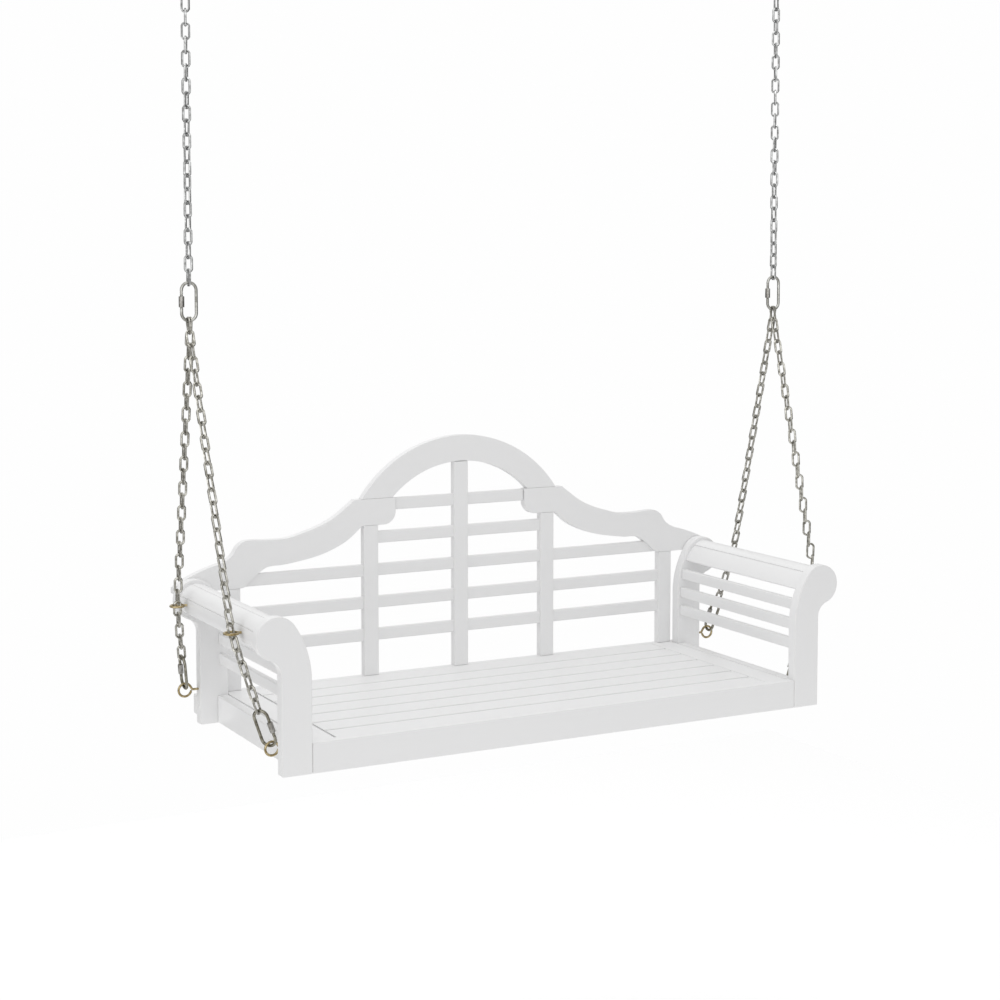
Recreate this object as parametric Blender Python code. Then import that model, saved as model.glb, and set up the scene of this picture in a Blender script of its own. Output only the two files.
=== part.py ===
"""Porch swing: a slatted timber bench with scroll arms and an arched crest, hung from the ceiling on two
chains. Metres, +Z up. The origin is midway between the top faces of the two ceiling plates, so the bench
hangs at negative Z, and its sitter looks along -Y."""

import math

import bmesh
import bpy
from mathutils import Matrix, Vector

# Bench, measured from the feet of its posts and from the front face of its front posts.
WIDTH = 1.200
POST_WIDTH = 0.0595
POST_THICK = 0.0235
REAR_POST_Y = 0.443
SEAT_HEIGHT = 0.056
RAIL_HEIGHT = 0.0575
RAIL_THICK = 0.022
GAP = 0.0003
EDGE = 0.0012

# Scroll head of an arm post: a roll, a long inner curve and a short hollow under the roll.
ROLL_X = 0.607
ROLL_Z = 0.2545
ROLL_R = 0.041
INNER_R = 0.185
HOLLOW_R = 0.030
FOOT_R = 0.003

# Arm slats and the slatted roll that makes the arm rest.
ARM_SLAT_HEIGHT = 0.023
ARM_SLAT_THICK = 0.013
ARM_SLATS = ((0.120, 0.0060), (0.161, 0.0065), (0.202, 0.0105))
ARM_RAIL_THICK = 0.0229
ARM_RAIL_LOW = 0.001
REST_RECESS = 0.007
REST_THICK = 0.012
REST_LOW_Z = 0.242
REST_END_ANGLE = -38

# Seat.
SEAT_BOARD = 0.018
SEAT_SLATS = 7
SEAT_GAP = 0.006
END_BOARD_X = 0.4835
BATTEN_X = (-0.458, -0.155, 0.155, 0.458)
BATTEN_WIDTH = 0.044
BATTEN_HEIGHT = 0.022
BATTEN_BITE = 0.001
BATTEN_SHORT = 0.001

# Back frame.
BACK_Y = 0.467
BACK_THICK = 0.018
REAR_RAIL_LOW = 0.016
UPRIGHT_WIDTH = 0.033
UPRIGHTS = {
    "back_post_centre": (0.0, 0.4993),
    "back_post_inner_left": (-0.212, 0.3747),
    "back_post_inner_right": (0.212, 0.3747),
    "back_post_end_left": (-0.520, 0.2648),
    "back_post_end_right": (0.520, 0.2648),
}
SLAT_HEIGHT = 0.0257
SLAT_THICK = 0.010
SLAT_LOW = 0.1293
SLAT_PITCH = 0.0688
SLAT_HALF_LENGTHS = (0.5365, 0.5365, 0.500, 0.2285, 0.1545)

# Crest: a half-round arch on two scroll-cut rails.
ARCH_Z = 0.276
ARCH_OUTER = 0.280
ARCH_INNER = 0.2245
BLOCK_TOP = 0.4310
CREST_TOP = (
    (0.294, 0.398), (0.330, 0.381), (0.362, 0.371), (0.398, 0.3615), (0.440, 0.3605), (0.480, 0.3628),
    (0.496, 0.3605), (0.509, 0.351), (0.521, 0.334), (0.542, 0.321), (0.573, 0.312), (0.612, 0.297),
    (0.645, 0.278),
)
CREST_LOW = (
    (0.645, 0.2655), (0.560, 0.2655), (0.503, 0.2655), (0.489, 0.272), (0.467, 0.291), (0.449, 0.303),
    (0.432, 0.3065), (0.409, 0.307), (0.355, 0.315), (0.318, 0.324), (0.285, 0.337), (0.262, 0.350),
    (0.245, 0.364), (0.232, 0.375),
)
BLOCK_INNER = 0.155
BLOCK_NOSE_R = 0.027
BLOCK_LOW = 0.375

# Suspension.
HANG_X = 0.672
HANG_Y = 0.2722
APEX_Z = 0.820
CHAIN_R = 0.004
CHAIN_PITCH = 0.0254
UPPER_LINKS = 25
WIRE_R = 0.003
LINK_LENGTH = 0.078
LINK_WIDTH = 0.035
LINK_SPAN = LINK_LENGTH - 2 * WIRE_R
SLEEVE_R = 0.0055
SLEEVE_BORE_R = 0.0034
SLEEVE_LENGTH = 0.021
BORE_REACH = 1.2
SADDLE_R = 0.008
CONTACT_GAP = 0.0004

# Ceiling fitting: a drilled plate with a bar bent to a U welded under it.
PLATE_X = 0.080
PLATE_Y = 0.040
PLATE_THICK = 0.004
PLATE_HOLE_R = 0.00325
PLATE_HOLE_X = 0.029
STAPLE_HALF = 0.016
STAPLE_DEPTH = 0.030
STAPLE_BEND_R = 0.008

# Screw eyes: ring centre, and the face of the timber that the shank goes into.
EYE_R = 0.0131
EYE_WIRE_R = 0.0024
EYE_HOLE_R = 0.0027
EYE_SLACK = 0.0018
SHANK_FIT = 0.98
EYE_HOLE_START = 0.002
EYES = {
    "load_eye_front": (Vector((0.585, 0.090, 0.032)), 0.5634, 0.017, "Y"),
    "load_eye_rear": (Vector((0.628, 0.455, 0.072)), 0.6000, 0.022, "Y"),
    "guide_eye_front": (Vector((0.660, 0.095, 0.2545)), 0.6410, 0.009, "Z"),
    "guide_eye_rear": (Vector((0.660, 0.400, 0.2545)), 0.6410, 0.009, "Z"),
}

# How far each lower link's nut side stands turned from the front-to-back direction, towards the bench.
LINK_TURN = {"front": 40, "rear": 180}

# Heights in the swing's own frame, worked down from the ceiling.
STAPLE_Z = -STAPLE_DEPTH
TOP_LINK_HIGH = STAPLE_Z + 2 * WIRE_R + CONTACT_GAP
TOP_LINK_LOW = TOP_LINK_HIGH - LINK_SPAN
BIG_LINK_HIGH = TOP_LINK_LOW - (UPPER_LINKS * CHAIN_PITCH - 2 * WIRE_R)
BIG_LINK_LOW = BIG_LINK_HIGH - LINK_SPAN
DROP = APEX_Z - BIG_LINK_LOW

SIDES = {"left": -1, "right": 1}


def clear_scene():
    for old in list(bpy.data.objects):
        bpy.data.objects.remove(old, do_unlink=True)


def make_material(name, colour, roughness, metallic):
    material = bpy.data.materials.new(name)
    material.use_nodes = True
    shader = material.node_tree.nodes["Principled BSDF"]
    shader.inputs["Base Color"].default_value = (*colour, 1)
    shader.inputs["Roughness"].default_value = roughness
    shader.inputs["Metallic"].default_value = metallic
    material.diffuse_color = (*colour, 1)
    return material


def bench(x, y, z):
    """A point of the bench, in the swing's own frame."""
    return Vector((x, y - HANG_Y, z - DROP))


def joint_axis(name, at):
    """An empty that stands on a joint's axis, for the pieces that turn or slide on it."""
    empty = bpy.data.objects.new(name, None)
    empty.empty_display_size = 0.03
    empty.location = at
    bpy.context.collection.objects.link(empty)
    return empty


def place(name, data, at, parent, material):
    """Add one piece whose local zero stands at this point of the swing's frame."""
    piece = bpy.data.objects.new(name, data)
    data.materials.clear()
    data.materials.append(material)
    bpy.context.collection.objects.link(piece)
    if parent is not None:
        piece.parent = parent
        piece.location = at - parent.location
    else:
        piece.location = at
    return piece


def soften(piece, width=EDGE):
    """Take the sharp edges off, as on sanded timber."""
    bevel = piece.modifiers.new("soft edges", "BEVEL")
    bevel.width = width
    bevel.segments = 1
    bevel.limit_method = "ANGLE"
    bevel.angle_limit = math.radians(50)
    return piece


def boolean(piece, operation, tool):
    tool.hide_render = True
    tool.display_type = "WIRE"
    modifier = piece.modifiers.new(tool.name, "BOOLEAN")
    modifier.operation = operation
    modifier.object = tool
    return piece


def box_mesh(name, low, high):
    """A box between two corners, about its own centre; returns the mesh and that centre."""
    low, high = Vector(low), Vector(high)
    size = high - low
    shape = bmesh.new()
    bmesh.ops.create_cube(shape, size=1, matrix=Matrix.Diagonal((*size, 1)))
    mesh = bpy.data.meshes.new(name)
    shape.to_mesh(mesh)
    shape.free()
    return mesh, (low + high) / 2


def board(name, low, high, parent, material):
    mesh, centre = box_mesh(name, low, high)
    return soften(place(name, mesh, bench(*centre), parent, material))


def sawn(name, outline, y, thick, parent, material, edge=EDGE):
    """A board sawn to an outline of (x, z) points, from y back by its thickness."""
    middle = sum((Vector(point) for point in outline), Vector((0, 0))) / len(outline)
    shape = bmesh.new()
    corners = [shape.verts.new((px - middle.x, 0, pz - middle.y)) for px, pz in outline]
    face = shape.faces.new(corners)
    extruded = bmesh.ops.extrude_face_region(shape, geom=[face])["geom"]
    moved = [item for item in extruded if isinstance(item, bmesh.types.BMVert)]
    bmesh.ops.translate(shape, verts=moved, vec=(0, thick, 0))
    bmesh.ops.recalc_face_normals(shape, faces=shape.faces)
    mesh = bpy.data.meshes.new(name)
    shape.to_mesh(mesh)
    shape.free()
    piece = place(name, mesh, bench(middle.x, y, middle.y), parent, material)
    return soften(piece, edge) if edge else piece


def wire_curve(name, points, radius, closed=False):
    curve = bpy.data.curves.new(name, "CURVE")
    curve.dimensions = "3D"
    curve.bevel_depth = radius
    curve.bevel_resolution = 2
    curve.use_fill_caps = True
    spline = curve.splines.new("POLY")
    spline.points.add(len(points) - 1)
    for spot, point in zip(spline.points, points):
        spot.co = (*point, 1)
    spline.use_cyclic_u = closed
    return curve


def wire_mesh(name, points, radius, closed=False):
    """A bent wire as a mesh, for pieces that are welded or cut."""
    holder = bpy.data.objects.new(name + "_wire", wire_curve(name, points, radius, closed))
    mesh = bpy.data.meshes.new_from_object(holder)
    mesh.name = name
    bpy.data.objects.remove(holder, do_unlink=True)
    return mesh


def arc(cx, cz, radius, start, stop, steps):
    """Points of an arc in degrees, both ends included."""
    turn = [math.radians(start + (stop - start) * step / steps) for step in range(steps + 1)]
    return [(cx + radius * math.cos(angle), cz + radius * math.sin(angle)) for angle in turn]


def mirrored(outline, side):
    return [(side * px, pz) for px, pz in outline]


def arm_curve(inset, start_z):
    """The inner curve and roll of an arm, moved into the wood by inset, from a height to the hollow."""
    centre_x = WIDTH / 2 - POST_WIDTH + INNER_R
    reach = INNER_R - ROLL_R
    centre_z = ROLL_Z - math.sqrt(reach**2 - (centre_x - ROLL_X) ** 2)
    meet = math.degrees(math.atan2(ROLL_Z - centre_z, ROLL_X - centre_x))
    first = 180 - math.degrees(math.asin(max(0, start_z - centre_z) / (INNER_R - inset)))
    inner = arc(centre_x, centre_z, INNER_R - inset, first, meet, 7)
    return inner[:-1], meet


def post_outline():
    """Right arm post: straight foot, inner curve, roll and the hollow below the roll."""
    inside = WIDTH / 2 - POST_WIDTH
    outside = WIDTH / 2
    inner, meet = arm_curve(0, 0)
    hollow_x = outside + HOLLOW_R
    hollow_z = ROLL_Z - math.sqrt((ROLL_R + HOLLOW_R) ** 2 - (hollow_x - ROLL_X) ** 2)
    leave = math.degrees(math.atan2(hollow_z - ROLL_Z, hollow_x - ROLL_X))
    outline = arc(inside + FOOT_R, FOOT_R, FOOT_R, 270, 180, 2) + inner
    outline += arc(ROLL_X, ROLL_Z, ROLL_R, meet, leave, 20)
    outline += arc(hollow_x, hollow_z, HOLLOW_R, leave + 180, 180, 6)[1:]
    return outline + arc(outside - FOOT_R, FOOT_R, FOOT_R, 0, -90, 2)


def rest_outline():
    """The band of slats that makes the arm rest, between two insets of the arm's curve."""
    outline = []
    for inset in (REST_RECESS, REST_RECESS + REST_THICK):
        inner, meet = arm_curve(inset, REST_LOW_Z)
        edge = inner + arc(ROLL_X, ROLL_Z, ROLL_R - inset, meet, REST_END_ANGLE, 14)
        outline += edge if not outline else edge[::-1]
    return outline


def crest_outline():
    """Right crest rail: block under the arch, scrolled fall, level end and wing behind the arm post."""
    nose = arc(BLOCK_INNER + BLOCK_NOSE_R, BLOCK_LOW + BLOCK_NOSE_R, BLOCK_NOSE_R, 270, 180, 5)
    corner = [(BLOCK_INNER, BLOCK_TOP), (0.250, BLOCK_TOP)]
    return smooth(((0.252, 0.429),) + CREST_TOP) + smooth(CREST_LOW) + nose + corner


def smooth(points):
    """A Catmull-Rom curve through the points, two steps to each."""
    ends = [points[0], *points, points[-1]]
    curve = []
    for before, start, stop, after in zip(ends, ends[1:], ends[2:], ends[3:]):
        for share in (0, 0.5):
            curve.append(
                tuple(
                    0.5
                    * (
                        2 * b
                        + (c - a) * share
                        + (2 * a - 5 * b + 4 * c - d) * share**2
                        + (3 * b - a - 3 * c + d) * share**3
                    )
                    for a, b, c, d in zip(before, start, stop, after)
                )
            )
    return curve + [points[-1]]


def link_points(low, up, across):
    """Centre line of a quick link, from the middle of its lower bend up to its upper bend."""
    half = LINK_WIDTH / 2 - WIRE_R
    points = []
    for share, start in ((half, 180), (LINK_SPAN - half, 0)):
        for step in range(9):
            angle = math.radians(start + 180 * step / 8)
            points.append(low + up * (share + half * math.sin(angle)) + across * (half * math.cos(angle)))
    return points


def quick_link(name, sleeve_name, low, up, across, parent, steel):
    """A threaded quick link and its sleeve nut; across points to the leg that carries the nut."""
    points = [point - parent.location for point in link_points(low, up, across)]
    link = place(name, wire_curve(name, points, WIRE_R, closed=True), parent.location, parent, steel)
    if sleeve_name is None:
        return link
    middle = low + up * (LINK_SPAN / 2) + across * (LINK_WIDTH / 2 - WIRE_R)
    axis = joint_axis(sleeve_name + "_axis", middle)
    half = up * (SLEEVE_LENGTH / 2)
    nut = place(sleeve_name, wire_mesh(sleeve_name, (-half, half), SLEEVE_R), middle, axis, steel)
    bore = wire_mesh("bore", (-half * BORE_REACH, half * BORE_REACH), SLEEVE_BORE_R)
    bore = place(sleeve_name + "_bore", bore, middle, axis, steel)
    boolean(nut, "DIFFERENCE", bore)
    return link


def screw_eye(name, side, key, timber, brass, parent):
    """A ring on a shank; the shank's hole is drilled in the timber."""
    centre, face_x, depth, opening = EYES[key]
    at = bench(side * centre.x, centre.y, centre.z)
    turn = [2 * math.pi * step / 16 for step in range(16)]
    if opening == "Y":
        ring = [Vector((EYE_R * math.cos(a), 0, EYE_R * math.sin(a))) for a in turn]
    else:
        ring = [Vector((EYE_R * math.cos(a), EYE_R * math.sin(a), 0)) for a in turn]
    eye = place(name, wire_mesh(name, ring, EYE_WIRE_R, closed=True), at, parent, brass)
    start = Vector((-side * EYE_R, 0, 0))
    end = Vector((-side * (centre.x - face_x + depth), 0, 0))
    shank = wire_mesh("shank", (start, end), EYE_WIRE_R * SHANK_FIT)
    shank = place(name + "_shank", shank, at, parent, brass)
    boolean(eye, "UNION", shank)
    reach = end - Vector((side * 2 * GAP, 0, 0))
    outside = Vector((-side * (centre.x - face_x - EYE_HOLE_START), 0, 0))
    hole = place(name + "_hole", wire_mesh("hole", (outside, reach), EYE_HOLE_R), at, parent, brass)
    boolean(timber, "DIFFERENCE", hole)
    return eye


def ceiling_plate(name, side, steel):
    low = (-PLATE_X / 2, -PLATE_Y / 2, -PLATE_THICK)
    mesh, centre = box_mesh(name, low, (PLATE_X / 2, PLATE_Y / 2, 0))
    at = Vector((side * HANG_X, 0, 0))
    plate = place(name, mesh, at + centre, None, steel)
    for hand in (-1, 1):
        ends = [Vector((hand * PLATE_HOLE_X, 0, height)) for height in (-0.01, 0.005)]
        hole = place(f"{name}_hole_{hand}", wire_mesh("hole", ends, PLATE_HOLE_R), at, None, steel)
        boolean(plate, "DIFFERENCE", hole)
    bend_x = STAPLE_HALF - STAPLE_BEND_R
    bend_z = STAPLE_Z + STAPLE_BEND_R
    path = [(-STAPLE_HALF, -PLATE_THICK / 2)] + arc(-bend_x, bend_z, STAPLE_BEND_R, 180, 270, 4)
    path += arc(bend_x, bend_z, STAPLE_BEND_R, 270, 360, 4) + [(STAPLE_HALF, -PLATE_THICK / 2)]
    points = [Vector((px, 0, pz)) for px, pz in path]
    staple = place(name + "_staple", wire_mesh("staple", points, WIRE_R), at, None, steel)
    return boolean(plate, "UNION", staple)


def build_arm(side_name, side, parent, paint):
    """Posts, bottom rail, slats and slatted roll of one arm; returns the pieces that eyes screw into."""
    outline = mirrored(post_outline(), side)
    sawn(f"front_post_{side_name}", outline, 0, POST_THICK, parent, paint)
    rear = sawn(f"rear_post_{side_name}", outline, REAR_POST_Y, POST_THICK, parent, paint)
    inside = WIDTH / 2 - POST_WIDTH
    front, back = POST_THICK + GAP, REAR_POST_Y - GAP

    def between(name, near, far, low, high):
        ends = sorted((side * near, side * far))
        return board(name, (ends[0], front, low), (ends[1], back, high), parent, paint)

    rail = between(f"arm_rail_{side_name}", inside + GAP, inside + ARM_RAIL_THICK, ARM_RAIL_LOW, SEAT_HEIGHT)
    for number, (low, inset) in enumerate(ARM_SLATS, 1):
        near = inside + inset
        between(f"arm_slat_{number}_{side_name}", near, near + ARM_SLAT_THICK, low, low + ARM_SLAT_HEIGHT)
    outline = mirrored(rest_outline(), side)
    rest = sawn(f"arm_rest_{side_name}", outline, front, back - front, parent, paint, edge=0)
    return {"load_eye_front": rail, "load_eye_rear": rear, "guide_eye_front": rest, "guide_eye_rear": rest}


def build_seat(parent, paint):
    """Front rail, end boards, and the long slats nailed to their battens."""
    inside = WIDTH / 2 - POST_WIDTH - GAP
    board("front_rail", (-inside, 0, 0), (inside, RAIL_THICK, RAIL_HEIGHT), parent, paint)
    front, back = RAIL_THICK + GAP, BACK_Y - GAP
    low = SEAT_HEIGHT - SEAT_BOARD
    for side_name, side in SIDES.items():
        ends = sorted((side * END_BOARD_X, side * inside))
        board(f"seat_end_{side_name}", (ends[0], front, low), (ends[1], back, SEAT_HEIGHT), parent, paint)
    pitch = (back - front + SEAT_GAP) / SEAT_SLATS
    half = END_BOARD_X - GAP
    panel = None
    for number in range(SEAT_SLATS):
        near = front + number * pitch
        corners = ((-half, near, low), (half, near + pitch - SEAT_GAP, SEAT_HEIGHT))
        slat = board("seat_panel" if panel is None else f"seat_slat_{number}", *corners, parent, paint)
        if panel is None:
            panel = slat
            for order, batten_x in enumerate(BATTEN_X):
                near_x, far_x = batten_x - BATTEN_WIDTH / 2, batten_x + BATTEN_WIDTH / 2
                depth = (low - BATTEN_HEIGHT, low + BATTEN_BITE)
                corners = ((near_x, front + BATTEN_SHORT, depth[0]), (far_x, back - BATTEN_SHORT, depth[1]))
                boolean(panel, "UNION", board(f"batten_{order}", *corners, parent, paint))
        else:
            boolean(panel, "UNION", slat)


def build_back(parent, paint):
    """Rear rail, uprights with their slats let through them, arch and crest rails."""
    half = WIDTH / 2
    back = BACK_Y + BACK_THICK
    board("rear_rail", (-half, BACK_Y, REAR_RAIL_LOW), (half, back, SEAT_HEIGHT), parent, paint)
    uprights = []
    for name, (centre, top) in UPRIGHTS.items():
        near, far = centre - UPRIGHT_WIDTH / 2, centre + UPRIGHT_WIDTH / 2
        low = SEAT_HEIGHT + GAP
        uprights.append((centre, top, board(name, (near, BACK_Y, low), (far, back, top), parent, paint)))
    rails = {}
    for side_name, side in SIDES.items():
        outline = mirrored(crest_outline(), side)
        rails[side] = sawn(f"crest_rail_{side_name}", outline, BACK_Y, BACK_THICK, parent, paint)
    slat_y = BACK_Y + (BACK_THICK - SLAT_THICK) / 2
    for number, reach in enumerate(SLAT_HALF_LENGTHS):
        low = SLAT_LOW + number * SLAT_PITCH
        high = low + SLAT_HEIGHT
        corners = ((-reach, slat_y, low), (reach, slat_y + SLAT_THICK, high))
        board(f"back_slat_{number + 1}", *corners, parent, paint)
        slack = Vector((4 * GAP, GAP, GAP))
        mesh, centre = box_mesh("mortise", Vector(corners[0]) - slack, Vector(corners[1]) + slack)
        cutter = place(f"mortise_{number + 1}", mesh, bench(*centre), parent, paint)
        cutter.hide_render = True
        cutter.display_type = "WIRE"
        for centre_x, top, upright in uprights:
            if abs(centre_x) < reach and top > low:
                boolean(upright, "DIFFERENCE", cutter)
        if END_BOARD_X < reach < UPRIGHTS["back_post_end_right"][0]:
            for rail in rails.values():
                boolean(rail, "DIFFERENCE", cutter)
    foot = BLOCK_TOP + GAP - ARCH_Z
    outer = math.degrees(math.asin(foot / ARCH_OUTER))
    inner = math.degrees(math.asin(foot / ARCH_INNER))
    outline = arc(0, ARCH_Z, ARCH_OUTER, outer, 180 - outer, 32)
    outline += arc(0, ARCH_Z, ARCH_INNER, 180 - inner, inner, 28)
    sawn("crest_arch", outline, BACK_Y, BACK_THICK, parent, paint)


def lower_link(side_name, side, place_name, parent, steel):
    """The quick link between a load eye and the chain; returns where the chain begins, seen from the link."""
    eye, guide = (EYES[f"{kind}_eye_{place_name}"][0] for kind in ("load", "guide"))
    eye, guide = (bench(side * point.x, point.y, point.z) for point in (eye, guide))
    up = (guide - eye).normalized()
    low = eye + up * (EYE_R - EYE_WIRE_R - WIRE_R - EYE_SLACK)
    turn = math.radians(LINK_TURN[place_name])
    across = Vector((-side * math.sin(turn), -math.cos(turn), 0))
    across = (across - up * across.dot(up)).normalized()
    name = f"{place_name}_link_{side_name}"
    quick_link(name, f"{place_name}_sleeve_{side_name}", low, up, across, parent, steel)
    return low + up * (LINK_SPAN + WIRE_R + CONTACT_GAP), guide


def v_chain(side_name, side, parent, steel):
    """The chain from the front quick link through both guide eyes and over the large link to the rear one."""
    apex = Vector((side * HANG_X, 0, BIG_LINK_LOW))
    front, front_guide = lower_link(side_name, side, "front", parent, steel)
    rear, rear_guide = lower_link(side_name, side, "rear", parent, steel)
    lean = {}
    for key, guide in (("front", front_guide), ("rear", rear_guide)):
        lean[key] = math.degrees(math.atan2(abs(guide.y - apex.y), apex.z - guide.z))
    over = arc(apex.y, apex.z, SADDLE_R, 180 - lean["front"], lean["rear"], 8)
    path = [front, front_guide] + [Vector((apex.x, py, pz)) for py, pz in over] + [rear_guide, rear]
    points = [point - parent.location for point in path]
    place(f"v_chain_{side_name}", wire_curve("v_chain", points, CHAIN_R), parent.location, parent, steel)


def build():
    clear_scene()
    paint = make_material("white_paint", (0.72, 0.72, 0.72), 0.35, 0.0)
    steel = make_material("zinc_steel", (0.50, 0.49, 0.46), 0.35, 1.0)
    brass = make_material("brass", (0.62, 0.47, 0.24), 0.35, 1.0)
    rock = joint_axis("rock_axis", Vector((0, 0, BIG_LINK_LOW)))
    build_seat(rock, paint)
    build_back(rock, paint)
    across = Vector((-1, 0, 0))
    upward = Vector((0, 0, 1))
    for side_name, side in SIDES.items():
        timbers = build_arm(side_name, side, rock, paint)
        for key, timber in timbers.items():
            screw_eye(f"{key}_{side_name}", side, key, timber, brass, rock)
        v_chain(side_name, side, rock, steel)
        column = Vector((side * HANG_X, 0, 0))
        ceiling_plate(f"ceiling_plate_{side_name}", side, steel)
        swing = joint_axis(f"swing_axis_{side_name}", column + Vector((0, 0, STAPLE_Z)))
        top_low = column + Vector((0, 0, TOP_LINK_LOW))
        quick_link(f"top_link_{side_name}", None, top_low, upward, Vector((0, 1, 0)), swing, steel)
        sway = joint_axis(f"sway_axis_{side_name}", top_low)
        high = Vector((0, 0, -WIRE_R - CONTACT_GAP))
        low = Vector((0, 0, BIG_LINK_HIGH - TOP_LINK_LOW + WIRE_R + CONTACT_GAP))
        chain = wire_curve("upper_chain", (high, low), CHAIN_R)
        place(f"upper_chain_{side_name}", chain, top_low, sway, steel)
        level = joint_axis(f"level_axis_{side_name}", column + Vector((0, 0, BIG_LINK_HIGH)))
        low = column + Vector((0, 0, BIG_LINK_LOW))
        name = f"quick_link_{side_name}"
        quick_link(name, f"quick_link_sleeve_{side_name}", low, upward, across, level, steel)


build()
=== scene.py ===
"""The finished look of a porch swing: a slatted timber bench in white satin paint, with scroll arms and an
arched crest, hung from the ceiling on two zinc-plated chains. It is put together in the order below, in
metres, +Z up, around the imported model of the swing."""

import math

import bmesh
import bpy
from mathutils import Matrix, Vector


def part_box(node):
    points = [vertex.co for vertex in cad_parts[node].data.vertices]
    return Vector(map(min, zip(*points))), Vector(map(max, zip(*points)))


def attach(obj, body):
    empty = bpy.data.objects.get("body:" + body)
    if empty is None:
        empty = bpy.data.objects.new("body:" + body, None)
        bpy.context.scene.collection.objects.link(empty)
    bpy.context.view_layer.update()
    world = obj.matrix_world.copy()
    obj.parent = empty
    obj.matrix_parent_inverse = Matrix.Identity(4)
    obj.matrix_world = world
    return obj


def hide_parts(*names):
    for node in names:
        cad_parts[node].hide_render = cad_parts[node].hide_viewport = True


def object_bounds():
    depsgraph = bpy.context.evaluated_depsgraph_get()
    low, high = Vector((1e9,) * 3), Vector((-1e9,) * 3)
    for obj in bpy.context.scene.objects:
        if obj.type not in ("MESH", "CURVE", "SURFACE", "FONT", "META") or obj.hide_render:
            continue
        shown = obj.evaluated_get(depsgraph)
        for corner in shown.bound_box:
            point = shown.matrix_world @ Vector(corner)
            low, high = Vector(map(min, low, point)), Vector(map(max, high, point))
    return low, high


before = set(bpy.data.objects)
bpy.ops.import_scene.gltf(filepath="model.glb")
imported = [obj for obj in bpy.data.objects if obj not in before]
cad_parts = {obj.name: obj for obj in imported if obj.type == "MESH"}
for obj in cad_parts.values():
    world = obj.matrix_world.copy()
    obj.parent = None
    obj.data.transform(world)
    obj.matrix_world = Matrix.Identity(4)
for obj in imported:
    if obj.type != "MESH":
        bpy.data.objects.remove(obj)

cad_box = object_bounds()
scene = bpy.context.scene

# ------------------------------------------------------------------------------------------------
# Studio. A pale floor below the bench, a white tent of light around it, and soft lamps overhead and at the
# left. The tent is brightest in front and above, and polished metal and gloss pick that up.
FLOOR_BELOW_FEET = 0.90
FLOOR_HALF = 2.5
FLOOR_WHITE = 0.80
FLOOR_GLOW = 0.315
CAMERA_AT = (-1.8786, -3.5156, -0.6502)
CAMERA_TURN = (math.radians(85.39), 0, math.radians(-28.0))
CAMERA_LENS = 70.2
CAMERA_RISE = -0.10
TENT_WHITE = 0.992
TENT_LIGHT = 0.80
PANELS_ROUND = 5
PANEL_TURN = 0.6
PANEL_CONTRAST = 1.5
TO_THE_FRONT = (-0.47, -0.88)
FRONT_GLOSS, BEHIND_GLOSS, HIGH_GLOSS, PANEL_GLOSS, LEAST_GLOSS = 1.15, 0.45, 0.5, 0.25, 0.03
BENCH_MIDDLE = 0.25
OVERHEAD_AT, OVERHEAD_SIZE, OVERHEAD_POWER = (-0.2, -0.4, 2.8), 2.6, 18
LEFT_AT, LEFT_SIZE, LEFT_POWER = (-3.0, -0.3, 0.1), 1.6, 7

scene.view_settings.view_transform = "Standard"

camera = bpy.data.objects.new("camera", bpy.data.cameras.new("camera"))
camera.data.lens = CAMERA_LENS
camera.data.shift_y = CAMERA_RISE
camera.location = CAMERA_AT
camera.rotation_euler = CAMERA_TURN
scene.collection.objects.link(camera)
scene.camera = camera


class Link:
    """One output of a node. Python's operators on it add Math nodes."""

    def __init__(self, maker, socket):
        self.maker = maker
        self.socket = socket

    def out(self, name):
        """Another output of the same node, by its identifier or its name."""
        for output in self.socket.node.outputs:
            if name in (output.identifier, output.name):
                return Link(self.maker, output)
        raise KeyError(name)

    def __add__(self, other):
        return self.maker.maths("ADD", self, other)

    def __sub__(self, other):
        return self.maker.maths("SUBTRACT", self, other)

    def __rsub__(self, other):
        return self.maker.maths("SUBTRACT", other, self)

    def __mul__(self, other):
        return self.maker.maths("MULTIPLY", self, other)

    def __truediv__(self, other):
        return self.maker.maths("DIVIDE", self, other)

    def __rtruediv__(self, other):
        return self.maker.maths("DIVIDE", other, self)

    __radd__ = __add__
    __rmul__ = __mul__


class NodeMaker:
    """Adds nodes to one shader or geometry tree."""

    def __init__(self, tree):
        self.tree = tree

    def node(self, kind, settings=None, **values):
        """A node with its settings, then its sockets by identifier, _ for a space. Returns its output."""
        node = self.tree.nodes.new(kind)
        for key, value in (settings or {}).items():
            setattr(node, key, value)
        for key, value in values.items():
            self.feed(node, key, value)
        shown = [output for output in node.outputs if output.enabled]
        return Link(self, shown[0]) if shown else node

    def feed(self, node, key, value):
        for socket in node.inputs:
            if key in (socket.identifier, socket.identifier.replace(" ", "_")):
                if isinstance(value, Link):
                    self.tree.links.new(value.socket, socket)
                else:
                    socket.default_value = value
                return
        raise KeyError(key)

    def maths(self, operation, first, second=0.0, third=0.0, clamp=False):
        settings = {"operation": operation, "use_clamp": clamp}
        return self.node("ShaderNodeMath", settings, Value=first, Value_001=second, Value_002=third)

    def blend(self, share, first, second):
        """A colour between two, by a share."""
        settings = {"data_type": "RGBA"}
        return self.node("ShaderNodeMix", settings, Factor_Float=share, A_Color=first, B_Color=second)


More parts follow.
